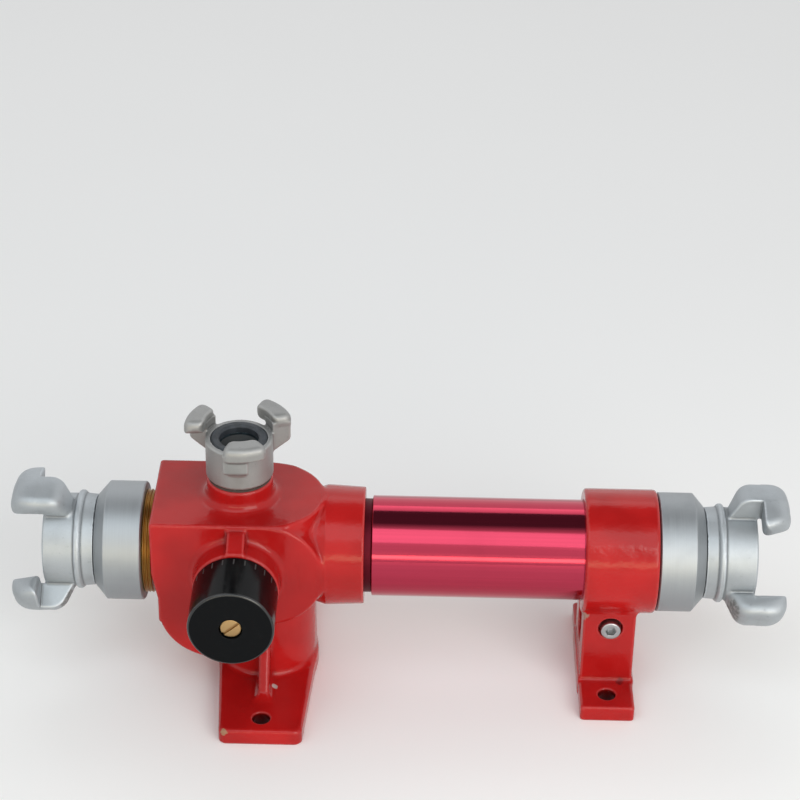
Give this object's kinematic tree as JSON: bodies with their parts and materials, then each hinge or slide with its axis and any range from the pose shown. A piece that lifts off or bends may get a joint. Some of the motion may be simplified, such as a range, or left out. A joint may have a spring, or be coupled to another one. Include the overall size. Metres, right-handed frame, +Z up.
{
  "type": "jet eductor",
  "caption": "In-line jet eductor: red cast body with suction port and metering knob, diffuser tube in a clamp bracket, and swivelling claw couplings at inlet and outlet.",
  "frame": {"origin": "on the base plane, midway between the two holes of the body foot, on the pedestal axis", "axes": "+X along the flow to the outlet, +Y away from the metering knob, +Z up along the suction port"},
  "size_m": [0.46, 0.1675, 0.1738],
  "materials": {
    "red_paint": "gloss enamel over a casting",
    "red_anodised": "drawn and anodised raspberry red",
    "turned_aluminium": "bright turned",
    "satin_aluminium": "forged, satin",
    "cast_aluminium": "sand cast, matt",
    "brass": "machined",
    "rubber": "moulded",
    "fibre": "pressed fibre",
    "steel": "zinc plated",
    "black_plastic": "polished"
  },
  "bodies": {
    "frame": {"body": "red_paint", "nozzle": "brass", "nozzle_seal": "rubber", "inlet_collar": "turned_aluminium", "inlet_wire": "steel", "port_head": "cast_aluminium", "port_washer": "fibre", "port_gasket": "rubber", "check_cage": "brass", "gland": "brass", "gland_seal": "rubber", "tube": "red_anodised", "tube_seals": "rubber", "bracket": "red_paint", "clamp_screw": "steel", "outlet_collar": "turned_aluminium", "outlet_wire": "steel"},
    "inlet_swivel": {"inlet_head": "satin_aluminium", "inlet_seal": "rubber", "inlet_gasket": "rubber"},
    "outlet_swivel": {"outlet_head": "satin_aluminium", "outlet_seal": "rubber", "outlet_gasket": "rubber"},
    "metering": {"plug": "brass", "plug_seal": "rubber", "knob": "black_plastic", "knob_screw": "brass"},
    "ball": {"check_ball": "steel"}
  },
  "joints": [
    {"name": "inlet_turn", "type": "hinge", "parent": "frame", "child": "inlet_swivel", "pos_m": [-0.131, 0, 0.088], "axis": [-1, 0, 0], "continuous": true},
    {"name": "outlet_turn", "type": "hinge", "parent": "frame", "child": "outlet_swivel", "pos_m": [0.291, 0, 0.088], "axis": [1, 0, 0], "continuous": true},
    {"name": "metering_turn", "type": "hinge", "parent": "frame", "child": "metering", "pos_m": [-0.015, -0.05, 0.088], "axis": [0, -1, 0], "range_deg": [0, 270]},
    {"name": "ball_lift", "type": "slide", "parent": "frame", "child": "ball", "axis": [0, 0, 1], "range_m": [0, 0.0073]}
  ]
}
